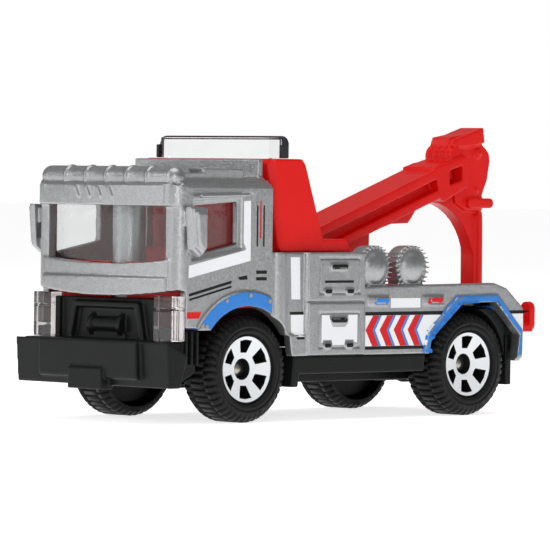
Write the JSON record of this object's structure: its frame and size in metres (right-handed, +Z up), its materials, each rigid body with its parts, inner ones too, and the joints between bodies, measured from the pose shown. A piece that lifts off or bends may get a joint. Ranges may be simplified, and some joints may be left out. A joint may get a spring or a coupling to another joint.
{
  "type": "toy tow truck",
  "caption": "Toy tow truck with a cast cab-over body, moulded base, free-rolling wheels on wire axles and a lifting boom with a rear wheel lift.",
  "frame": {"origin": "centre of the overall box in X and Y, on the surface the tyres stand on", "axes": "+Z up; the truck faces -Y, so +Y is the tail; +X is the truck's own left side"},
  "size_m": [0.0306, 0.0708, 0.0367],
  "materials": {
    "silver_paint": "silver metallic enamel with fine flake",
    "black_plastic": "satin moulded black plastic",
    "clear_plastic": "clear moulded plastic",
    "charcoal_plastic": "satin charcoal plastic",
    "red_plastic": "semi-gloss moulded red plastic",
    "steel_wire": "drawn bright steel wire",
    "wheel_plastic": "satin black plastic with a white printed face"
  },
  "bodies": {
    "truck": {"body_casting": "silver_paint", "base_plate": "black_plastic", "window_insert": "clear_plastic", "headlight_left": "clear_plastic", "headlight_right": "clear_plastic", "light_bar_frame": "charcoal_plastic", "light_bar_lens": "clear_plastic", "cab_interior": "red_plastic", "deck_insert": "red_plastic", "boom_pin": "steel_wire"},
    "boom": {"tow_boom": "red_plastic"},
    "front_axle_wire": {"front_axle": "steel_wire"},
    "rear_axle_wire": {"rear_axle": "steel_wire"},
    "front_left_wheel": {"wheel_front_left": "wheel_plastic"},
    "front_right_wheel": {"wheel_front_right": "wheel_plastic"},
    "rear_left_wheel": {"wheel_rear_left": "wheel_plastic"},
    "rear_right_wheel": {"wheel_rear_right": "wheel_plastic"}
  },
  "joints": [
    {"name": "boom_lift", "type": "hinge", "parent": "truck", "child": "boom", "pos_m": [0, -0.007, 0.0186], "axis": [1, 0, 0], "range_deg": [0, 25]},
    {"name": "front_axle_spin", "type": "hinge", "parent": "truck", "child": "front_axle_wire", "pos_m": [0, -0.02, 0.0065], "axis": [1, 0, 0], "continuous": true},
    {"name": "rear_axle_spin", "type": "hinge", "parent": "truck", "child": "rear_axle_wire", "pos_m": [0, 0.0189, 0.0065], "axis": [1, 0, 0], "continuous": true},
    {"name": "wheel_front_left_spin", "type": "hinge", "parent": "front_axle_wire", "child": "front_left_wheel", "pos_m": [0, -0.02, 0.0065], "axis": [1, 0, 0], "continuous": true},
    {"name": "wheel_front_right_spin", "type": "hinge", "parent": "front_axle_wire", "child": "front_right_wheel", "pos_m": [0, -0.02, 0.0065], "axis": [1, 0, 0], "continuous": true},
    {"name": "wheel_rear_left_spin", "type": "hinge", "parent": "rear_axle_wire", "child": "rear_left_wheel", "pos_m": [0, 0.0189, 0.0065], "axis": [1, 0, 0], "continuous": true},
    {"name": "wheel_rear_right_spin", "type": "hinge", "parent": "rear_axle_wire", "child": "rear_right_wheel", "pos_m": [0, 0.0189, 0.0065], "axis": [1, 0, 0], "continuous": true}
  ]
}
